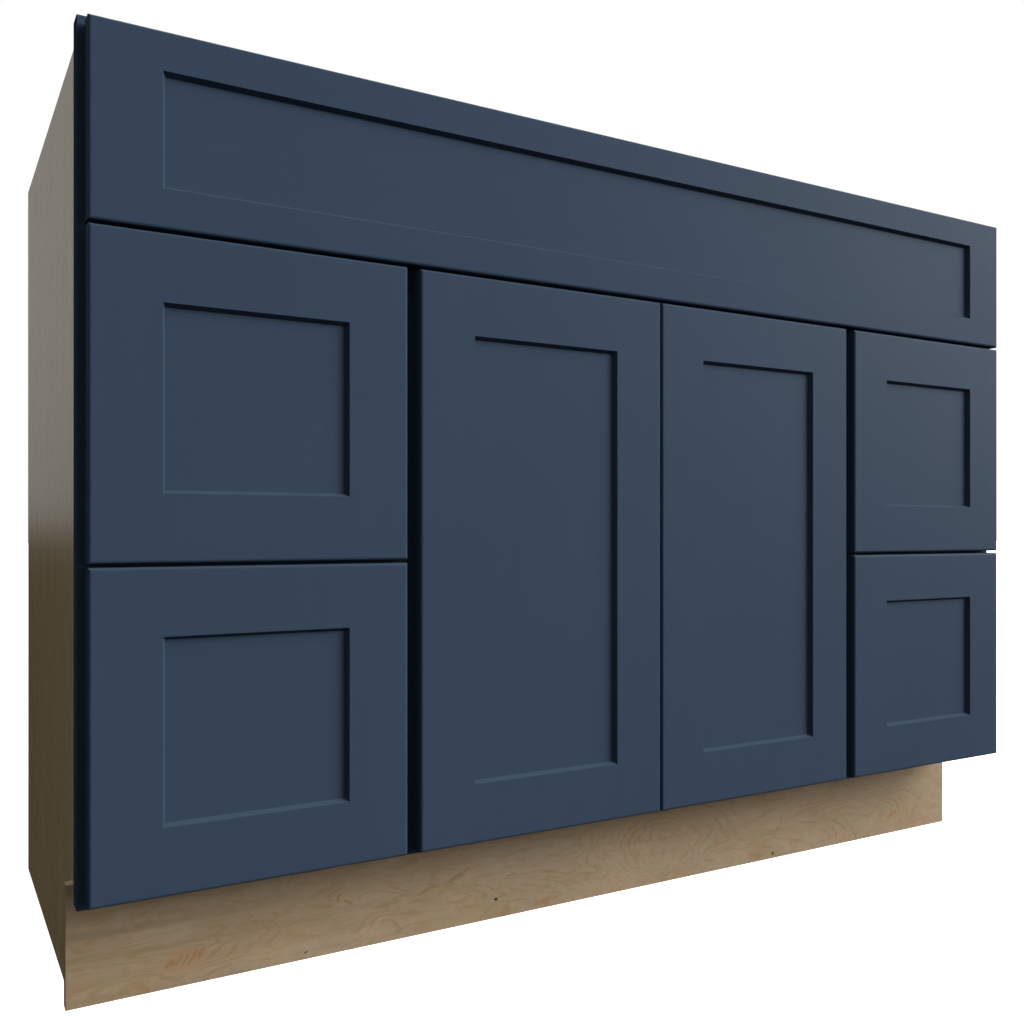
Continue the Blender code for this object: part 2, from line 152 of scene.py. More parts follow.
# Its stains: (share of length, share of height, half width, half height, tilt in degrees, strength, colour)
ORANGE = (0.300, 0.160, 0.070)
PALE_ORANGE = (0.350, 0.215, 0.110)
DARK_BROWN = (0.110, 0.072, 0.040)
BLACK_KNOT = (0.030, 0.018, 0.010)
STAINS = (
    (0.087, 0.220, 24 * MM, 13 * MM, 0, 0.60, PALE_ORANGE),
    (0.076, 0.205, 6.5 * MM, 3.0 * MM, 25, 0.85, ORANGE),
    (0.083, 0.225, 7.0 * MM, 1.7 * MM, 55, 0.80, ORANGE),
    (0.088, 0.215, 7.0 * MM, 1.5 * MM, 62, 0.85, ORANGE),
    (0.094, 0.235, 8.5 * MM, 1.9 * MM, 60, 0.80, ORANGE),
    (0.100, 0.245, 6.5 * MM, 3.2 * MM, 60, 0.80, ORANGE),
    (0.908, 0.230, 11 * MM, 8 * MM, 0, 0.50, PALE_ORANGE),
    (0.902, 0.215, 4.5 * MM, 1.8 * MM, 40, 0.80, ORANGE),
    (0.907, 0.235, 5.5 * MM, 1.6 * MM, 55, 0.85, ORANGE),
    (0.913, 0.245, 5.0 * MM, 2.2 * MM, 50, 0.80, ORANGE),
    (0.174, 0.339, 6 * MM, 0.6 * MM, 8, 0.60, DARK_BROWN),
    (0.143, 0.420, 4 * MM, 1.6 * MM, -20, 0.70, ORANGE),
    (0.149, 0.395, 1.6 * MM, 4 * MM, 0, 0.70, ORANGE),
    (0.300, 0.415, 18 * MM, 2.2 * MM, 16, 0.75, ORANGE),
    (0.328, 0.485, 20 * MM, 3.4 * MM, 24, 0.75, ORANGE),
    (0.215, 0.500, 5 * MM, 2.5 * MM, 70, 0.70, ORANGE),
    (0.224, 0.440, 7 * MM, 1.8 * MM, -35, 0.70, ORANGE),
    (0.425, 0.075, 22 * MM, 4 * MM, 6, 0.70, ORANGE),
    (0.385, 0.400, 9 * MM, 1.6 * MM, 14, 0.65, ORANGE),
    (0.522, 0.650, 3 * MM, 3 * MM, 0, 0.75, ORANGE),
    (0.541, 0.621, 2.6 * MM, 3 * MM, 0, 0.75, ORANGE),
    (0.186, 0.062, 2.4 * MM, 1.2 * MM, 25, 0.90, DARK_BROWN),
    (0.367, 0.179, 2.3 * MM, 2.1 * MM, 0, 1.00, BLACK_KNOT),
    (0.716, 0.056, 3.2 * MM, 2.8 * MM, 0, 1.00, BLACK_KNOT),
)


# ---------------------------------------------------------------- shader helpers


class Shader:
    """A small builder round one material's node tree."""

    def __init__(self, name, roughness=0.5, metallic=0.0, specular=0.5):
        self.material = bpy.data.materials.new(name)
        self.material.use_nodes = True
        self.tree = self.material.node_tree
        self.principled = self.tree.nodes["Principled BSDF"]
        self.set("Roughness", roughness)
        self.set("Metallic", metallic)
        self.set("Specular IOR Level", specular)
        self.place = self.add("ShaderNodeTexCoord").outputs["Object"]

    def set(self, socket, value):
        """Sets a constant of the surface."""
        self.principled.inputs[socket].default_value = value

    def add(self, kind, **settings):
        made = self.tree.nodes.new(kind)
        for key, value in settings.items():
            setattr(made, key, value)
        return made

    def feed(self, socket, source):
        """Puts a number, a colour or another node's output into a socket."""
        if hasattr(source, "is_output"):
            self.tree.links.new(source, socket)
        else:
            socket.default_value = source

    def math(self, operation, a, b=0.0, c=0.0, clamp=False):
        made = self.add("ShaderNodeMath", operation=operation, use_clamp=clamp)
        for socket, source in zip(made.inputs, (a, b, c)):
            self.feed(socket, source)
        return made.outputs[0]

    def vector(self, operation, a, b=(0, 0, 0)):
        made = self.add("ShaderNodeVectorMath", operation=operation)
        self.feed(made.inputs[0], a)
        self.feed(made.inputs[1], b)
        return made.outputs["Value" if operation in ("LENGTH", "DOT_PRODUCT") else "Vector"]

    def split(self, vector):
        made = self.add("ShaderNodeSeparateXYZ")
        self.feed(made.inputs[0], vector)
        return made.outputs

    def scaled(self, scale, offset=(0, 0, 0)):
        """The place in the row frame, stretched along each axis."""
        made = self.add("ShaderNodeMapping")
        self.feed(made.inputs["Vector"], self.place)
        made.inputs["Scale"].default_value = scale
        made.inputs["Location"].default_value = offset
        return made.outputs[0]

    def noise(self, vector, scale=1.0, detail=2.0, roughness=0.5, distortion=0.0):
        made = self.add("ShaderNodeTexNoise")
        self.feed(made.inputs["Vector"], vector)
        made.inputs["Scale"].default_value = scale
        made.inputs["Detail"].default_value = detail
        made.inputs["Roughness"].default_value = roughness
        made.inputs["Distortion"].default_value = distortion
        return made.outputs[0]

    def ramp(self, value, low, high, start=0.0, end=1.0):
        """value mapped smoothly from low..high to start..end, clamped."""
        made = self.add("ShaderNodeMapRange", clamp=True, interpolation_type="SMOOTHSTEP")
        self.feed(made.inputs["Value"], value)
        limits = {"From Min": low, "From Max": high, "To Min": start, "To Max": end}
        for name, number in limits.items():
            made.inputs[name].default_value = number
        return made.outputs[0]

    def mix(self, share, a, b):
        """Colour a where share is 0, colour b where it is 1."""
        made = self.add("ShaderNodeMix", data_type="RGBA", blend_type="MIX", clamp_factor=True)
        self.feed(made.inputs["Factor"], share)
        for socket, source in ((made.inputs[6], a), (made.inputs[7], b)):
            self.feed(socket, (*source, 1.0) if isinstance(source, tuple) else source)
        return made.outputs[2]

    def colour(self, source):
        """The surface takes its colour from source."""
        self.feed(self.principled.inputs["Base Color"], source)

    def roughness(self, source):
        """The surface takes its roughness from source."""
        self.feed(self.principled.inputs["Roughness"], source)

    def bump(self, height, distance, strength, after=None):
        """Relief on the surface, over an earlier relief if one is given."""
        made = self.add("ShaderNodeBump")
        self.feed(made.inputs["Height"], height)
        made.inputs["Distance"].default_value = distance
        made.inputs["Strength"].default_value = strength
        if after:
            self.feed(made.inputs["Normal"], after)
        self.tree.links.new(made.outputs[0], self.principled.inputs["Normal"])
        return made.outputs[0]


# ---------------------------------------------------------------- finishes


def navy_paint(name, grain_axis, specular=0.036):
    """Sprayed satin paint over wood: slight orange peel, faint grain, and a painted highlight, a paler
    colour wherever the surface faces up.
    """
    s = Shader(name, roughness=0.45, specular=specular)
    s.set("Specular Tint", (0.76, 0.82, 1.0, 1.0))
    stretch = [90, 90, 90]
    stretch[grain_axis] = 4
    grain = s.noise(s.scaled(stretch), 1.0, 4, 0.6, 0.4)
    cloud = s.noise(s.place, 5.0, 3, 0.5)
    peel = s.noise(s.place, 620.0, 2, 0.5)
    base = s.mix(s.ramp(cloud, 0.3, 0.7), (0.0350, 0.0552, 0.0884), (0.0364, 0.0572, 0.0912))
    streak = s.ramp(grain, 0.35, 0.75)
    coat = s.mix(s.math("MULTIPLY", streak, 0.35), base, (0.0330, 0.0524, 0.0845))
    # Painted highlight: a paler navy where the surface faces up, standing in for light caught by the recess
    # ledges and rounded top edges
    up = s.split(s.add("ShaderNodeTexCoord").outputs["Normal"])[Z]
    s.colour(s.mix(s.ramp(up, 0.30, 0.85), coat, (0.0475, 0.0725, 0.1065)))
    s.roughness(s.ramp(cloud, 0.2, 0.8, 0.43, 0.48))
    first = s.bump(peel, 0.05 * MM, 0.35)
    s.bump(grain, 0.08 * MM, 0.25, after=first)
    return s.material


def spot(s, place, middle, half_size, tilt=(0, 0, 0)):
    """Distance from an oval spot's middle, 1.0 on its rim. An axis whose half size is None is ignored."""
    made = s.add("ShaderNodeMapping", vector_type="TEXTURE")
    s.feed(made.inputs["Vector"], place)
    made.inputs["Location"].default_value = middle
    made.inputs["Rotation"].default_value = tilt
    made.inputs["Scale"].default_value = [ENDLESS if half is None else half for half in half_size]
    return s.vector("LENGTH", made.outputs[0])


def cut_edge(s, thickness_axis):
    """1 on a board's cut edges, 0 on its two faces."""
    normal = s.split(s.add("ShaderNodeTexCoord").outputs["Normal"])[thickness_axis]
    return s.ramp(s.math("ABSOLUTE", normal), 0.5, 0.7, 1.0, 0.0)


def plies(s, thickness_axis, low, thickness, count, light, dark):
    """The banded colour of plywood's cut edge."""
    along = s.split(s.place)[thickness_axis]
    layer = s.math("MULTIPLY", s.math("SUBTRACT", along, low), count / thickness)
    wobble = s.math("MULTIPLY", s.noise(s.place, 60.0, 2), 0.25)
    wave = s.math("SINE", s.math("MULTIPLY", s.math("ADD", layer, wobble), math.pi))
    pores = s.noise(s.place, 420.0, 3, 0.7)
    band = s.mix(s.ramp(wave, -0.25, 0.25), dark, light)
    return s.mix(s.ramp(pores, 0.35, 0.7, 0.0, 0.45), band, tuple(0.75 * c for c in dark))


def plywood(name, thickness_axis, grain_axis, low, thickness, count=9, flecks=()):
    """Clear-lacquered maple-faced plywood: plain-sliced face veneer, and banded plies on the cut edges."""
    s = Shader(name, roughness=0.30, specular=0.096)
    across = 3 - thickness_axis - grain_axis
    figure_scale = [1.0, 1.0, 1.0]
    figure_scale[grain_axis] = 0.75
    figure_scale[across] = 7.0
    field = s.noise(s.scaled(figure_scale), 1.0, 2, 0.45, 0.35)
    rings = s.ramp(s.math("SINE", s.math("MULTIPLY", field, 75.0)), -0.4, 1.0)
    fibre_scale = [600, 600, 600]
    fibre_scale[grain_axis] = 14
    fibre = s.noise(s.scaled(fibre_scale), 1.0, 3, 0.6)
    streak_scale = [75, 75, 75]
    streak_scale[grain_axis] = 1.4
    streak = s.noise(s.scaled(streak_scale), 1.0, 4, 0.65, 0.3)
    face = s.mix(s.math("MULTIPLY", rings, 0.30), (0.560, 0.430, 0.235), (0.455, 0.335, 0.165))
    face = s.mix(s.ramp(streak, 0.35, 0.72, 0.0, 0.80), face, (0.470, 0.352, 0.187))
    face = s.mix(s.ramp(fibre, 0.40, 0.75, 0.0, 0.35), face, (0.440, 0.320, 0.158))
    for middle, half_size in flecks:
        rim = spot(s, s.place, middle, half_size)
        face = s.mix(s.ramp(rim, 0.6, 1.2, 0.8, 0.0), face, (0.060, 0.042, 0.024))
    band = plies(s, thickness_axis, low, thickness, count, (0.500, 0.380, 0.240), (0.270, 0.180, 0.100))
    s.colour(s.mix(cut_edge(s, thickness_axis), face, band))
    s.roughness(s.ramp(fibre, 0.3, 0.7, 0.23, 0.30))
    s.bump(fibre, 0.05 * MM, 0.25)
    return s.material


def growth_rings(s, on_board):
    """1 on the dark lines of the toe board's growth rings, fading out in places."""
    field = s.noise(s.scaled((3.4, 1.0, 12.0)), 1.0, 3, 0.5, 0.8)
    ripple = s.noise(s.scaled((9, 1, 30), (3.1, 0, 1.7)), 1.0, 3, 0.55)
    field = s.math("ADD", field, s.math("MULTIPLY", ripple, 0.09))
    for share_x, share_z, half_width, half_height, swell in RING_CENTRES:
        rim = spot(s, s.place, on_board(share_x, share_z), (half_width, None, half_height))
        push = s.math("EXPONENT", s.math("MULTIPLY", s.math("MULTIPLY", rim, rim), -1.2))
        field = s.math("ADD", field, s.math("MULTIPLY", push, swell))
    rings = s.ramp(s.math("SINE", s.math("MULTIPLY", field, 125.0)), 0.25, 1.0)
    broken = s.ramp(s.noise(s.scaled((28, 1, 60), (0.6, 0, 1.9)), 1.0, 3, 0.6), 0.36, 0.60, 0.15, 1.0)
    return s.math("MULTIPLY", rings, broken)


def stained(s, base, on_board):
    """The toe board's colour with its knots and flecks laid over it, their rims wavy and streaked."""
    warp = s.add("ShaderNodeVectorMath", operation="MULTIPLY_ADD")
    s.feed(warp.inputs[0], s.noise(s.place, 70.0, 2, 0.5))
    warp.inputs[1].default_value = (9 * MM, 0, 5 * MM)
    s.feed(warp.inputs[2], s.place)
    wavy = s.vector("SUBTRACT", warp.outputs[0], (4.5 * MM, 0, 2.5 * MM))
    streaky = s.ramp(s.noise(s.scaled((330, 1, 210), (2.0, 0, 5.0)), 1.0, 2, 0.6), 0.36, 0.56, 0.45, 1.0)
    for share_x, share_z, half_width, half_height, tilt, share, stain in STAINS:
        half_size = (half_width, None, half_height)
        rim = spot(s, wavy, on_board(share_x, share_z), half_size, (0, math.radians(-tilt), 0))
        base = s.mix(s.math("MULTIPLY", s.ramp(rim, 0.5, 1.2, share, 0.0), streaky), base, stain)
    return base


def figured_board(name):
    """Bare rotary-cut veneer of the toe kick: swirling growth rings, two knots, and some stained flecks."""
    s = Shader(name, roughness=0.60, specular=0.12)
    low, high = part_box("toe_kick_board")
    size = high - low

    def on_board(share_x, share_z):
        """The place at a share of the board's length and height."""
        return (low.x + share_x * size.x, 0, low.z + share_z * size.z)

    patch = s.noise(s.scaled((7, 1, 16), (5.3, 0, 2.2)), 1.0, 3, 0.6, 0.4)
    grey = s.noise(s.scaled((5, 1, 14), (1.1, 0, 7.7)), 1.0, 3, 0.6, 0.8)
    fibre = s.noise(s.scaled((30, 500, 500)), 1.0, 3, 0.6)
    streak = s.noise(s.scaled((2.4, 1, 70), (0.4, 0, 3.0)), 1.0, 4, 0.6, 0.4)
    plain_end = s.ramp(s.split(s.place)[X], low.x, low.x + 0.3 * size.x, 1.0, 0.25)
    base = s.mix(s.ramp(patch, 0.32, 0.68), (0.385, 0.292, 0.188), (0.338, 0.244, 0.148))
    base = s.mix(s.ramp(grey, 0.42, 0.72, 0.0, 0.45), base, (0.336, 0.276, 0.204))
    base = s.mix(s.math("MULTIPLY", s.ramp(streak, 0.42, 0.70), plain_end), base, (0.290, 0.214, 0.130))
    mottle = s.noise(s.scaled((75, 1, 140), (2.7, 0, 0.3)), 1.0, 3, 0.65)
    base = s.mix(s.ramp(mottle, 0.50, 0.70, 0.0, 0.40), base, (0.280, 0.212, 0.140))
    base = s.mix(s.ramp(mottle, 0.28, 0.46, 0.40, 0.0), base, (0.410, 0.318, 0.200))
    warm = s.noise(s.scaled((40, 1, 75), (4.4, 0, 1.2)), 1.0, 4, 0.65, 1.0)
    base = s.mix(s.ramp(warm, 0.53, 0.67, 0.0, 0.40), base, PALE_ORANGE)
    ring_share = s.math("MULTIPLY", growth_rings(s, on_board), s.ramp(patch, 0.30, 0.62, 0.22, 0.62))
    base = s.mix(ring_share, base, (0.300, 0.182, 0.084))
    base = s.mix(s.ramp(fibre, 0.42, 0.75, 0.0, 0.28), base, (0.250, 0.185, 0.112))
    base = stained(s, base, on_board)
    band = plies(s, Y, low.y, size.y, 9, (0.470, 0.350, 0.230), (0.300, 0.205, 0.120))
    s.colour(s.mix(cut_edge(s, Y), base, band))
    s.roughness(s.ramp(patch, 0.3, 0.7, 0.55, 0.65))
    s.bump(fibre, 0.08 * MM, 0.4)
    return s.material


def solid_maple(name, node, wall):
    """Clear-lacquered hard maple of one drawer box, its boards joined by dovetails at the four corners."""
    s = Shader(name, roughness=0.38, specular=0.25)
    low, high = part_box(node)
    middle = (low + high) / 2
    field = s.noise(s.scaled((38, 2.2, 38)), 1.0, 3, 0.5, 0.5)
    lines = s.ramp(s.math("SINE", s.math("MULTIPLY", field, 42.0)), 0.0, 1.0)
    fibre = s.noise(s.scaled((700, 20, 700)), 1.0, 3, 0.6)
    pores = s.noise(s.place, 500.0, 3, 0.7)
    wood = s.mix(s.math("MULTIPLY", lines, 0.32), (0.520, 0.425, 0.290), (0.430, 0.330, 0.205))
    wood = s.mix(s.ramp(fibre, 0.40, 0.75, 0.0, 0.30), wood, (0.370, 0.275, 0.165))
    end_grain = s.mix(s.ramp(pores, 0.35, 0.7), (0.390, 0.290, 0.175), (0.300, 0.210, 0.120))

    at = s.split(s.place)
    facing = s.split(s.add("ShaderNodeTexCoord").outputs["Normal"])
    off_middle = [s.math("ABSOLUTE", s.math("SUBTRACT", at[axis], middle[axis])) for axis in (X, Y)]
    from_side = s.math("SUBTRACT", (high.x - low.x) / 2, off_middle[X])
    from_end = s.math("SUBTRACT", (high.y - low.y) / 2, off_middle[Y])
    pitch = (high.z - low.z) / DOVETAILS
    step = s.math("PINGPONG", s.math("SUBTRACT", at[Z], low.z), pitch / 2)
    pin = s.math("MULTIPLY_ADD", from_end, PIN_FLARE, PIN_HALF)
    on_side = s.math("GREATER_THAN", s.math("ABSOLUTE", facing[X]), 0.5)
    on_end = s.math("GREATER_THAN", s.math("ABSOLUTE", facing[Y]), 0.5)
    half = s.mix(on_side, (PIN_HALF, PIN_HALF, PIN_HALF), pin)
    beyond = s.math("SUBTRACT", step, half)
    near_end = s.math("MULTIPLY", s.math("LESS_THAN", from_end, wall), on_side)
    near_side = s.math("MULTIPLY", s.math("LESS_THAN", from_side, wall), on_end)
    pin_shows = s.math("MULTIPLY", near_end, s.math("LESS_THAN", beyond, 0.0))
    tail_shows = s.math("MULTIPLY", near_side, s.math("GREATER_THAN", beyond, 0.0))
    wood = s.mix(s.math("ADD", pin_shows, tail_shows, clamp=True), wood, end_grain)
    corner = s.math("ADD", near_end, near_side, clamp=True)
    glue = s.math("MULTIPLY", corner, s.math("LESS_THAN", s.math("ABSOLUTE", beyond), GLUE_HALF))
    s.colour(s.mix(glue, wood, (0.150, 0.095, 0.050)))
    s.roughness(s.ramp(fibre, 0.3, 0.7, 0.34, 0.44))
    s.bump(fibre, 0.05 * MM, 0.3)
    return s.material


def sheet_steel(name, tint, roughness, brush_axis):
    """Plated pressed steel with rolling marks and a light mottle."""
    s = Shader(name, roughness=roughness, metallic=1.0)
    scale = [900, 900, 900]
    scale[brush_axis] = 30
    brush = s.noise(s.scaled(scale), 1.0, 2, 0.6)
    mottle = s.noise(s.place, 140.0, 3, 0.6)
    dull = tuple(0.82 * c for c in tint)
    s.colour(s.mix(s.ramp(mottle, 0.35, 0.7), tint, dull))
    s.roughness(s.ramp(brush, 0.3, 0.7, roughness - 0.07, roughness + 0.10))
    s.bump(brush, 0.02 * MM, 0.3)
    return s.material


def moulded_plastic(name, tint, roughness):
    """Moulded plastic or rubber with a fine grit and slight clouding."""
    s = Shader(name, roughness=roughness, specular=0.5)
    grit = s.noise(s.place, 1500.0, 2, 0.5)
    cloud = s.noise(s.place, 60.0, 2, 0.5)
    shade = tuple(0.88 * c for c in tint)
    s.colour(s.mix(s.ramp(cloud, 0.3, 0.7), tint, shade))
    s.roughness(s.ramp(grit, 0.3, 0.7, roughness - 0.05, roughness + 0.08))
    s.bump(grit, 0.02 * MM, 0.3)
    return s.material


# The false front is a touch flatter than the others, and the frame behind the fronts is dull
PAINT = navy_paint("navy_paint_upright", Z)
PAINT_ACROSS = navy_paint("navy_paint_across", X, specular=0.028)
FRAME_PAINT = navy_paint("navy_paint_frame", Z, specular=0.0)
ZINC = sheet_steel("zinc_plate", (0.46, 0.48, 0.50), 0.38, Y)
NICKEL = sheet_steel("nickel_plate", (0.50, 0.475, 0.43), 0.26, Z)
GREY_PLASTIC = moulded_plastic("grey_plastic", (0.16, 0.165, 0.17), 0.45)
CLEAR_RUBBER = moulded_plastic("bumper_rubber", (0.42, 0.43, 0.42), 0.35)


def dress(node, finish):
    """Puts one finish on a CAD node."""
    materials = nodes[node].data.materials
    materials.clear()
    materials.append(finish)


def ply_for(node, thickness_axis, grain_axis, count=9, flecks=()):
    """Plywood whose layers are laid out in one node's own thickness."""
    low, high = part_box(node)
    thickness = (high - low)[thickness_axis]
    finish = plywood(
        f"{node}_ply", thickness_axis, grain_axis, low[thickness_axis], thickness, count, flecks
    )
    dress(node, finish)


def dress_cad_nodes():
    """Gives each CAD node its finish."""
    ply_for("side_panel_left", X, Z, flecks=SIDE_FLECKS)
    ply_for("side_panel_right", X, Z)
    for side in ("left", "right"):
        ply_for(f"partition_{side}", X, Z)
        for end in ("front", "back"):
            ply_for(f"corner_brace_{end}_{side}", Z, X, count=13)
    ply_for("floor_panel", Z, X)
    ply_for("back_panel", Y, Z, count=5)
    ply_for("hanging_rail", Y, X, count=13)
    ply_for("toe_kick_support", Y, X, count=13)
    dress("toe_kick_board", figured_board("figured_toe_board"))
    for node in nodes:
        if node.startswith("frame_"):
            dress(node, FRAME_PAINT)
        elif node.endswith(("door_frame", "door_panel", "_front_frame", "_front_panel")):
            dress(node, PAINT_ACROSS if node.startswith("false") else PAINT)
        elif node.endswith("_drawer_box"):
            dress(node, solid_maple(f"{node}_maple", node, BOX_WALL))
        elif node.endswith("_drawer_bottom"):
            ply_for(node, Z, Y, count=5)
        elif "_runner_" in node:
            dress(node, ZINC)
        elif "_hinge_" in node:
            dress(node, NICKEL)


dress_cad_nodes()


# ---------------------------------------------------------------- small hardware


def finish_piece(name, bm, finish, body):
    """Turns a bmesh in the row frame into a piece that rides on a body."""
    bmesh.ops.recalc_face_normals(bm, faces=bm.faces)
    mesh = bpy.data.meshes.new(name)
    bm.to_mesh(mesh)
    bm.free()
    mesh.materials.append(finish)
    mesh.shade_smooth()
    mesh.set_sharp_from_angle(angle=math.radians(35))
    piece = bpy.data.objects.new(name, mesh)
    bpy.context.scene.collection.objects.link(piece)
    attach(piece, body)


def add_block(bm, corner, opposite, easing):
    """A block with rounded edges between two opposite corners."""
    low = Vector(map(min, corner, opposite))
    high = Vector(map(max, corner, opposite))
    place = Matrix.Translation((low + high) / 2) @ Matrix.Diagonal((*(high - low), 1))
    made = bmesh.ops.create_cube(bm, size=1.0, matrix=place)
    # A dict keeps each edge once and in order, so that the mesh comes out alike in every run
    edges = dict.fromkeys(edge for vertex in made["verts"] for edge in vertex.link_edges)
    bmesh.ops.bevel(bm, geom=list(edges), offset=easing, segments=2, affect="EDGES")


def add_turned(bm, outline, centre, facing, segments=24):
    """A round solid turned from (radius, level) points, its levels counted from centre towards facing.

    A level may be a function of the place (x, y) on the ring.
    """
    turn = Vector((0, 0, 1)).rotation_difference(Vector(facing)).to_matrix().to_4x4()
    place = Matrix.Translation(centre) @ turn
    loops = []
    for radius, level in outline:
        loop = []
        for i in range(segments):
            angle = 2 * math.pi * (i + 0.5) / segments
            x = radius * math.cos(angle)
            y = radius * math.sin(angle)
            loop.append(bm.verts.new(place @ Vector((x, y, level(x, y) if callable(level) else level))))
        loops.append(loop)
    for inner, outer in zip(loops, loops[1:]):
        for i in range(segments):
            j = (i + 1) % segments
            bm.faces.new((inner[i], inner[j], outer[j], outer[i]))
    bm.faces.new(loops[0])
    bm.faces.new(loops[-1])


def add_screw_head(bm, centre, facing, radius, thickness):
    """A low domed head with a cross recess, standing on centre."""
    arm_end = 0.62 * radius
    arm_half = 0.17 * radius
    slope = 0.08 * radius

    def top(x, y):
        """How high the head stands at a place: a dome, less the cross recess."""
        dome = thickness * (1 - 0.4 * (x * x + y * y) / (radius * radius))
        across, along = sorted((abs(x), abs(y)))
        inside = min(arm_half - across, arm_end - along)
        return dome - 0.7 * thickness * max(0.0, min(1.0, inside / slope))

    rings = [(radius * step / HEAD_RINGS, top) for step in range(1, HEAD_RINGS)]
    rings += [(0.96 * radius, 0.52 * thickness), (radius, 0.40 * thickness), (radius, 0.0)]
    add_turned(bm, rings, centre, facing, HEAD_SEGMENTS)


def make_door_hardware(side_name, side):
    """Links, rivets and screws of the two hinge cups, and the bumpers, all riding on one door."""
    body = f"{side_name}_door"
    low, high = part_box(f"{side_name}_door_frame")
    hinge_x, free_x = (low.x, high.x) if side < 0 else (high.x, low.x)
    inward = -side
    link_top = LINK_LEVEL + LINK_THICKNESS
    for end in ("lower", "upper"):
        cup_low, cup_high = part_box(f"{side_name}_door_{end}_hinge_cup")
        cup_x = (cup_low.x + cup_high.x) / 2
        z_mid = (cup_low.z + cup_high.z) / 2
        links = bmesh.new()
        # Rivets first: after a bevel, new points are stored in an order that varies from run to run
        for up in (-1, 1):
            for reach in (LINK_REACH[0] + RIVET_FROM_LINK_END, LINK_REACH[1] - RIVET_FROM_LINK_END):
                centre = (hinge_x + inward * reach, FACE + sum(LINK_DEPTH) / 2, z_mid + up * link_top)
                add_turned(links, RIVET, centre, (0, 0, up))
        for up in (-1, 1):
            near = (hinge_x + inward * LINK_REACH[0], FACE + LINK_DEPTH[0], z_mid + up * LINK_LEVEL)
            far = (hinge_x + inward * LINK_REACH[1], FACE + LINK_DEPTH[1], z_mid + up * link_top)
            add_block(links, near, far, LINK_EASING)
        finish_piece(f"{side_name}_door_{end}_hinge_links", links, NICKEL, body)
        screws = bmesh.new()
        for up in (-1, 1):
            centre = (cup_x, cup_high.y, z_mid + up * CUP_SCREW_LEVEL)
            add_screw_head(screws, centre, (0, 1, 0), *CUP_SCREW)
        finish_piece(f"{side_name}_door_{end}_cup_screws", screws, NICKEL, body)
    bumpers = bmesh.new()
    for z in (low.z + BUMPER_INSET, high.z - BUMPER_INSET):
        add_turned(bumpers, BUMPER, (free_x - inward * BUMPER_INSET, FRONT_BACK, z), (0, 1, 0))
    finish_piece(f"{side_name}_door_bumpers", bumpers, CLEAR_RUBBER, body)

    arm_screws = bmesh.new()
    for end in ("lower", "upper"):
        arm_low, arm_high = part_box(f"{side_name}_door_{end}_hinge_arm")
        z_mid = (arm_low.z + arm_high.z) / 2
        for up in (-1, 1):
            plate_x = hinge_x + inward * ARM_PLATE_REACH
            centre = (plate_x, FACE + ARM_SCREW_DEPTH, z_mid + up * ARM_SCREW_LEVEL)
            add_screw_head(arm_screws, centre, (inward, 0, 0), *ARM_SCREW)
    finish_piece(f"{side_name}_hinge_arm_screws", arm_screws, NICKEL, "cabinet")


def add_runner_member(bm, x_mid, sign, outer_reach, y_ends, underside):
    """A folded steel channel, open below, that lies under one side of a drawer box."""
    inner_reach = outer_reach - MEMBER_WIDTH
    section = (
        (inner_reach, MEMBER_FOOT),
        (inner_reach, MEMBER_TOP),
        (outer_reach, MEMBER_TOP),
        (outer_reach, MEMBER_FOOT),
        (outer_reach - MEMBER_STEEL, MEMBER_FOOT),
        (outer_reach - MEMBER_STEEL, MEMBER_TOP - MEMBER_STEEL),
        (inner_reach + MEMBER_STEEL, MEMBER_TOP - MEMBER_STEEL),
        (inner_reach + MEMBER_STEEL, MEMBER_FOOT),
    )
    ends = []
    for y in y_ends:
        corners = [(x_mid + sign * reach, y, underside + level) for reach, level in section]
        ends.append([bm.verts.new(corner) for corner in corners])
        bm.faces.new(ends[-1])
    for i in range(len(section)):
        j = (i + 1) % len(section)
        bm.faces.new((ends[0][i], ends[0][j], ends[1][j], ends[1][i]))


def add_catch(bm, x_mid, sign, outer_reach, front, underside):
    """The plastic catch beside a runner member's front end, and its finger lever."""
    catch_outer = x_mid + sign * (outer_reach - GAP)
    catch_inner = x_mid + sign * (outer_reach - CATCH_WIDTH)
    lever_inner = x_mid + sign * (outer_reach - CATCH_WIDTH - LEVER_REACH)
    near = (catch_outer, front, underside + CATCH_LEVELS[0])
    far = (catch_inner, front + CATCH_LENGTH, underside + CATCH_LEVELS[1])
    add_block(bm, near, far, CATCH_EASING)
    near = (catch_inner, front + LEVER_ENDS[0], underside + LEVER_LEVELS[0])
    far = (lever_inner, front + LEVER_ENDS[1], underside + LEVER_LEVELS[1])
    add_block(bm, near, far, CATCH_EASING)


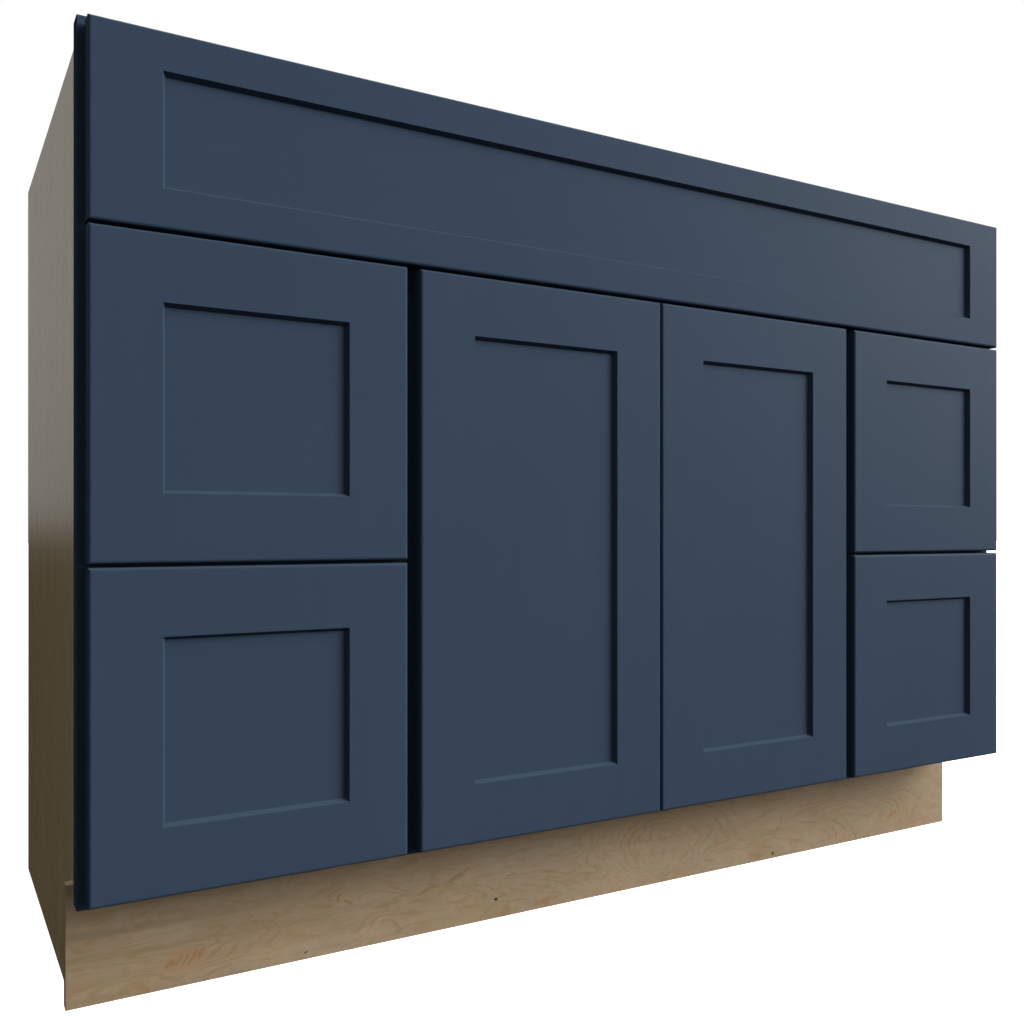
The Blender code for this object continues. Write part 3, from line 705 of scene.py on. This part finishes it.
def make_drawer_hardware(drawer, side):
    """The drawer's own runner members and catches, its front's screws, and its bumpers."""
    low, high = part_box(f"{drawer}_box")
    x_mid = (low.x + high.x) / 2
    y_inside = (low.y + BOX_WALL + GAP, high.y - BOX_WALL - GAP)
    inside_wall = (high.x - low.x) / 2 - BOX_WALL - GAP
    for runner_side, sign in (("left", -1), ("right", 1)):
        member = bmesh.new()
        add_runner_member(member, x_mid, sign, inside_wall, y_inside, low.z)
        finish_piece(f"{drawer}_runner_member_{runner_side}", member, ZINC, drawer)
        catch = bmesh.new()
        add_catch(catch, x_mid, sign, inside_wall - MEMBER_WIDTH, y_inside[0], low.z)
        finish_piece(f"{drawer}_catch_{runner_side}", catch, GREY_PLASTIC, drawer)

    screws = bmesh.new()
    for sign in (-1, 1):
        for level in FRONT_SCREW_LEVELS:
            centre = (x_mid + sign * FRONT_SCREW_FROM_MIDDLE, low.y + BOX_WALL, low.z + level)
            add_screw_head(screws, centre, (0, 1, 0), *FRONT_SCREW)
    finish_piece(f"{drawer}_front_screws", screws, ZINC, drawer)

    front_low, front_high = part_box(f"{drawer}_front_frame")
    edges = (front_low.x, front_high.x)
    outer_edge, inner_edge = edges if side < 0 else edges[::-1]
    bumpers = bmesh.new()
    for x in (outer_edge - side * BUMPER_INSET, inner_edge + side * BUMPER_FROM_INNER_EDGE):
        for z in (front_low.z + BUMPER_FROM_END, front_high.z - BUMPER_FROM_END):
            add_turned(bumpers, BUMPER, (x, FRONT_BACK, z), (0, 1, 0))
    finish_piece(f"{drawer}_bumpers", bumpers, CLEAR_RUBBER, drawer)


def make_carcase_fasteners():
    """Screws in the four corner braces, and staples round the back panel."""
    screws = bmesh.new()
    near_and_far = (BRACE_SCREW_NEAR, BRACE_SCREW_FAR)
    for node in (f"corner_brace_{end}_{side}" for end in ("front", "back") for side in ("left", "right")):
        low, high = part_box(node)
        corner_x, towards_x = (low.x, 1) if "left" in node else (high.x, -1)
        corner_y, towards_y = (low.y, 1) if "front" in node else (high.y, -1)
        for across, along in (near_and_far, near_and_far[::-1]):
            centre = (corner_x + towards_x * across, corner_y + towards_y * along, high.z)
            add_screw_head(screws, centre, (0, 0, 1), *BRACE_SCREW)
    finish_piece("corner_brace_screws", screws, ZINC, "cabinet")

    low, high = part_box("back_panel")
    partition_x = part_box("partition_right")[0].x + HALF_PLY
    rail_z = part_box("hanging_rail")[0].z + HALF_RAIL
    floor_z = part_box("floor_panel")[1].z - HALF_PLY
    upright = (STAPLE_WIRE, STAPLE_HALF)
    lying = (STAPLE_HALF, STAPLE_WIRE)
    places = []
    for x in (-partition_x, partition_x):
        for row in range(STAPLES_UP_A_PARTITION):
            places.append((x, low.z + LOWEST_STAPLE + row * STAPLE_STEP, upright))
    columns = round((high.x - low.x) / STAPLE_STEP)
    for z in (rail_z, floor_z):
        for column in range(columns):
            places.append((low.x + (column + 0.5) * (high.x - low.x) / columns, z, lying))
    staples = bmesh.new()
    for x, z, (half_x, half_z) in places:
        near = (x - half_x, high.y, z - half_z)
        far = (x + half_x, high.y + STAPLE_CROWN, z + half_z)
        add_block(staples, near, far, STAPLE_EASING)
    finish_piece("back_panel_staples", staples, ZINC, "cabinet")


for side_name, side in (("left", -1), ("right", 1)):
    make_door_hardware(side_name, side)
    for level in ("lower", "upper"):
        make_drawer_hardware(f"{level}_{side_name}_drawer", side)
make_carcase_fasteners()


# ---------------------------------------------------------------- studio and camera


# Soft lights of the sky: (degrees right of the front, degrees up, tightness, strength)
SKY_LIGHTS = (
    (54, 23, 15.4, 14.4),
    (-31, 23, 19.0, 1.20),
    (-100, 30, 8.0, 0.46),
    (196, 10.6, 13.1, 0.54),
    (160, 55, 20.0, 12.0),
)
SKY_BASE = 0.01
HORIZON_SOFTNESS = 0.02


def compass(turn, rise):
    """The direction that lies turn degrees right of straight in front, and rise degrees up."""
    turn = math.radians(turn)
    rise = math.radians(rise)
    return (math.cos(rise) * math.sin(turn), -math.cos(rise) * math.cos(turn), math.sin(rise))


def sky(world):
    """Soft lights above a sharp horizon, over black ground; plain white to the camera."""
    world.use_nodes = True
    tree = world.node_tree
    tree.nodes.clear()

    def add(kind, **settings):
        made = tree.nodes.new(kind)
        for key, value in settings.items():
            setattr(made, key, value)
        return made

    def combine(kind, operation, *sources):
        made = add(kind, operation=operation)
        for socket, source in zip(made.inputs, sources):
            if hasattr(source, "is_output"):
                tree.links.new(source, socket)
            else:
                socket.default_value = source
        return made.outputs["Value"]

    direction = add("ShaderNodeTexCoord").outputs["Generated"]
    total = SKY_BASE
    for turn, rise, tightness, strength in SKY_LIGHTS:
        nearness = combine("ShaderNodeVectorMath", "DOT_PRODUCT", direction, compass(turn, rise))
        exponent = combine("ShaderNodeMath", "MULTIPLY_ADD", nearness, tightness, -tightness)
        glow = combine("ShaderNodeMath", "EXPONENT", exponent)
        total = combine("ShaderNodeMath", "MULTIPLY_ADD", glow, strength, total)
    height = combine("ShaderNodeVectorMath", "DOT_PRODUCT", direction, (0, 0, 1))
    above = add("ShaderNodeMapRange", interpolation_type="SMOOTHSTEP")
    tree.links.new(height, above.inputs["Value"])
    above.inputs["From Min"].default_value = -HORIZON_SOFTNESS
    above.inputs["From Max"].default_value = HORIZON_SOFTNESS
    dome = add("ShaderNodeBackground")
    tree.links.new(combine("ShaderNodeMath", "MULTIPLY", total, above.outputs[0]), dome.inputs["Strength"])
    white = add("ShaderNodeBackground")
    white.inputs["Strength"].default_value = 1.0
    for background in (dome, white):
        background.inputs["Color"].default_value = (1, 1, 1, 1)
    mix = add("ShaderNodeMixShader")
    tree.links.new(add("ShaderNodeLightPath").outputs["Is Camera Ray"], mix.inputs[0])
    tree.links.new(dome.outputs[0], mix.inputs[1])
    tree.links.new(white.outputs[0], mix.inputs[2])
    tree.links.new(mix.outputs[0], add("ShaderNodeOutputWorld").inputs["Surface"])


world = bpy.data.worlds.new("studio")
bpy.context.scene.world = world
sky(world)
bpy.context.scene.view_settings.view_transform = "Standard"


def make_floor():
    """A wide pale floor, near white in the render, that throws no light back on the cabinet."""
    mesh = bpy.data.meshes.new("floor")
    reach = 40.0
    corners = [(-reach, -reach, 0), (reach, -reach, 0), (reach, reach, 0), (-reach, reach, 0)]
    mesh.from_pydata(corners, [], [(0, 1, 2, 3)])
    floor = bpy.data.objects.new("floor", mesh)
    bpy.context.scene.collection.objects.link(floor)
    s = Shader("pale_floor", roughness=0.9, specular=0.1)
    speckle = s.noise(s.place, 90.0, 2)
    s.colour(s.mix(s.ramp(speckle, 0.3, 0.7), (0.86, 0.86, 0.86), (0.83, 0.83, 0.83)))
    s.set("Emission Color", (1, 1, 1, 1))
    s.set("Emission Strength", 0.9)
    mesh.materials.append(s.material)
    floor.visible_diffuse = False
    floor.visible_glossy = False


make_floor()

# The camera stands level in front of the left drawers: metres, and a lens and sensor in millimetres
CAMERA_X = -0.7239
CAMERA_FROM_FACE = 0.91495
CAMERA_HEIGHT = 0.43748
CAMERA_YAW = math.radians(-30.032)
CAMERA_LENS = 35.962
CAMERA_SENSOR = 36.0
CAMERA_SHIFT = 0.01856
camera_data = bpy.data.cameras.new("camera")
camera_data.lens = CAMERA_LENS
camera_data.sensor_width = CAMERA_SENSOR
camera_data.shift_y = CAMERA_SHIFT
camera = bpy.data.objects.new("camera", camera_data)
camera.location = (CAMERA_X, FACE - CAMERA_FROM_FACE, CAMERA_HEIGHT)
camera.rotation_euler = (math.pi / 2, 0, CAMERA_YAW)
bpy.context.scene.collection.objects.link(camera)
bpy.context.scene.camera = camera
